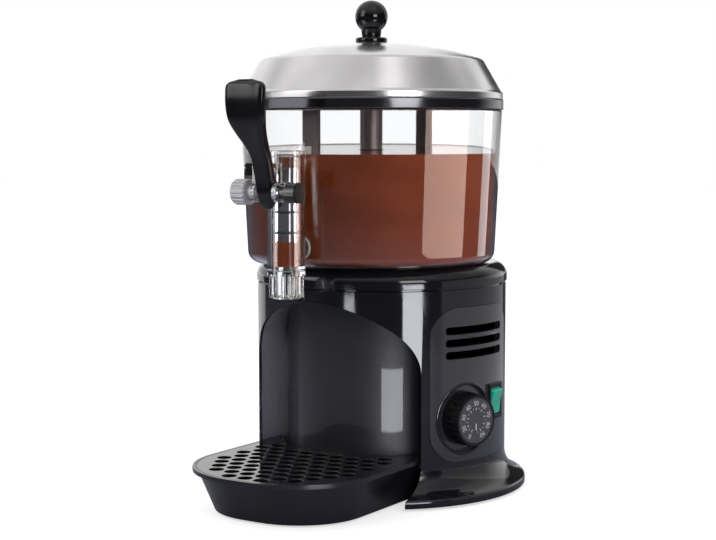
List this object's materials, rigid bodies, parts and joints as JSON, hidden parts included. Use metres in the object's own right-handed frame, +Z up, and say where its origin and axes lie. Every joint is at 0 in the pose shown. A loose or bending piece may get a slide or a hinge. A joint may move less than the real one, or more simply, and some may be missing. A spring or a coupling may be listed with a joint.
{
  "type": "hot chocolate dispenser",
  "caption": "Countertop hot chocolate dispenser: a clear heated bowl with a stirrer and a lever tap, a steel lid with a ball knob, and a round black base with a drip tray.",
  "frame": {"origin": "on the table, at the centre of the footprint's bounding box", "axes": "+Z up, -Y towards the tap and drip tray, +X towards the controls' side"},
  "size_m": [0.28, 0.376, 0.464],
  "materials": {
    "housing_black": "glossy moulded black",
    "liner_black": "high gloss black",
    "plate_grey": "satin grey",
    "rubber_black": "matt",
    "screw_steel": "plain",
    "matte_black": "fine texture",
    "terminal_cream": "moulded",
    "panel_black": "satin",
    "sheet_steel": "satin stainless",
    "seal_red": "silicone",
    "seal_white": "silicone",
    "heater_steel": "heat tinted",
    "bush_bronze": "sintered",
    "bracket_steel": "zinc plated",
    "gearbox_aluminium": "die cast",
    "motor_grey": "satin",
    "knob_black": "satin moulded",
    "dial_grey": "printed",
    "switch_green": "lit translucent",
    "tray_black": "satin moulded",
    "grid_black": "satin moulded",
    "clear_bowl": "clear polycarbonate",
    "clear_tap": "clear polycarbonate",
    "hub_white": "moulded",
    "tap_chrome": "polished",
    "pin_knob_grey": "fluted",
    "lever_black": "glossy",
    "stirrer_steel": "satin",
    "scraper_white": "soft",
    "lid_steel": "polished stainless",
    "trim_black": "satin",
    "lid_knob_black": "high gloss"
  },
  "bodies": {
    "base": {"housing": "housing_black", "top_ring": "housing_black", "recess_liner": "liner_black", "base_plate": "plate_grey", "rubber_feet": "rubber_black", "base_screws": "screw_steel", "tray_rails": "liner_black", "cable_gland": "matte_black", "terminal_block": "terminal_cream", "control_panel": "panel_black", "thermostat": "terminal_cream", "switch_frame": "matte_black", "water_tank": "sheet_steel", "tank_gasket": "seal_red", "tank_screws": "screw_steel", "heating_element": "heater_steel", "safety_thermostat": "sheet_steel", "shaft_bush": "bush_bronze", "motor_bracket": "bracket_steel", "gearbox": "gearbox_aluminium", "motor": "motor_grey", "motor_screws": "screw_steel"},
    "drive": {"drive_shaft": "sheet_steel"},
    "dial": {"dial_spindle": "screw_steel", "dial_knob": "knob_black", "dial_face": "dial_grey"},
    "switch": {"rocker": "switch_green"},
    "tray": {"drip_tray": "tray_black"},
    "grid": {"drip_grid": "grid_black"},
    "bowl": {"bowl": "clear_bowl", "bowl_pan": "sheet_steel", "pan_gasket": "seal_white", "pan_nut": "matte_black", "tap_barrel": "clear_tap", "tap_gasket": "seal_white", "tap_neck_nut": "hub_white", "tap_nozzle": "clear_tap", "pivot_pin": "tap_chrome", "pin_knob": "pin_knob_grey", "pin_cap": "knob_black", "pin_catch": "knob_black"},
    "piston": {"tap_piston": "tap_chrome", "piston_rings": "rubber_black", "piston_seal": "seal_white"},
    "lever": {"tap_lever": "lever_black"},
    "stirrer": {"stirrer_frame": "stirrer_steel", "stirrer_hub": "stirrer_steel", "stirrer_nut": "tap_chrome", "stirrer_scrapers": "scraper_white"},
    "lid": {"lid": "lid_steel", "lid_trim": "trim_black", "lid_knob": "lid_knob_black", "lid_knob_screw": "screw_steel"}
  },
  "joints": [
    {"name": "bowl_lift", "type": "slide", "parent": "base", "child": "bowl", "axis": [0, 0, 1], "range_m": [0, 0.18]},
    {"name": "lid_lift", "type": "slide", "parent": "bowl", "child": "lid", "axis": [0, 0, 1], "range_m": [0, 0.12]},
    {"name": "drive_spin", "type": "hinge", "parent": "base", "child": "drive", "pos_m": [0, 0.0285, 0.2], "axis": [0, 0, 1], "continuous": true},
    {"name": "stirrer_spin", "type": "hinge", "parent": "bowl", "child": "stirrer", "pos_m": [0, 0.0285, 0.3], "axis": [0, 0, 1], "continuous": true},
    {"name": "lever_pull", "type": "hinge", "parent": "bowl", "child": "lever", "pos_m": [0, -0.139, 0.2872], "axis": [1, 0, 0], "range_deg": [0, 28]},
    {"name": "piston_lift", "type": "slide", "parent": "bowl", "child": "piston", "axis": [0, 0, 1], "range_m": [0, 0.0128]},
    {"name": "dial_turn", "type": "hinge", "parent": "base", "child": "dial", "pos_m": [0.10985, 0.01231, 0.077], "axis": [0.9511, -0.309, 0], "range_deg": [-270, 0]},
    {"name": "switch_rock", "type": "hinge", "parent": "base", "child": "switch", "pos_m": [0.11829, 0.05316, 0.088], "axis": [-0.0436, 0.999, 0], "range_deg": [-19, 0]},
    {"name": "tray_slide", "type": "slide", "parent": "base", "child": "tray", "axis": [0, -1, 0], "range_m": [0, 0.12]},
    {"name": "grid_lift", "type": "slide", "parent": "tray", "child": "grid", "axis": [0, 0, 1], "range_m": [0, 0.04]}
  ],
  "couplings": [
    {"joint": "stirrer_spin", "follows": "drive_spin", "ratio": 1},
    {"joint": "piston_lift", "follows": "lever_pull", "m_per_rad": 0.025938}
  ]
}
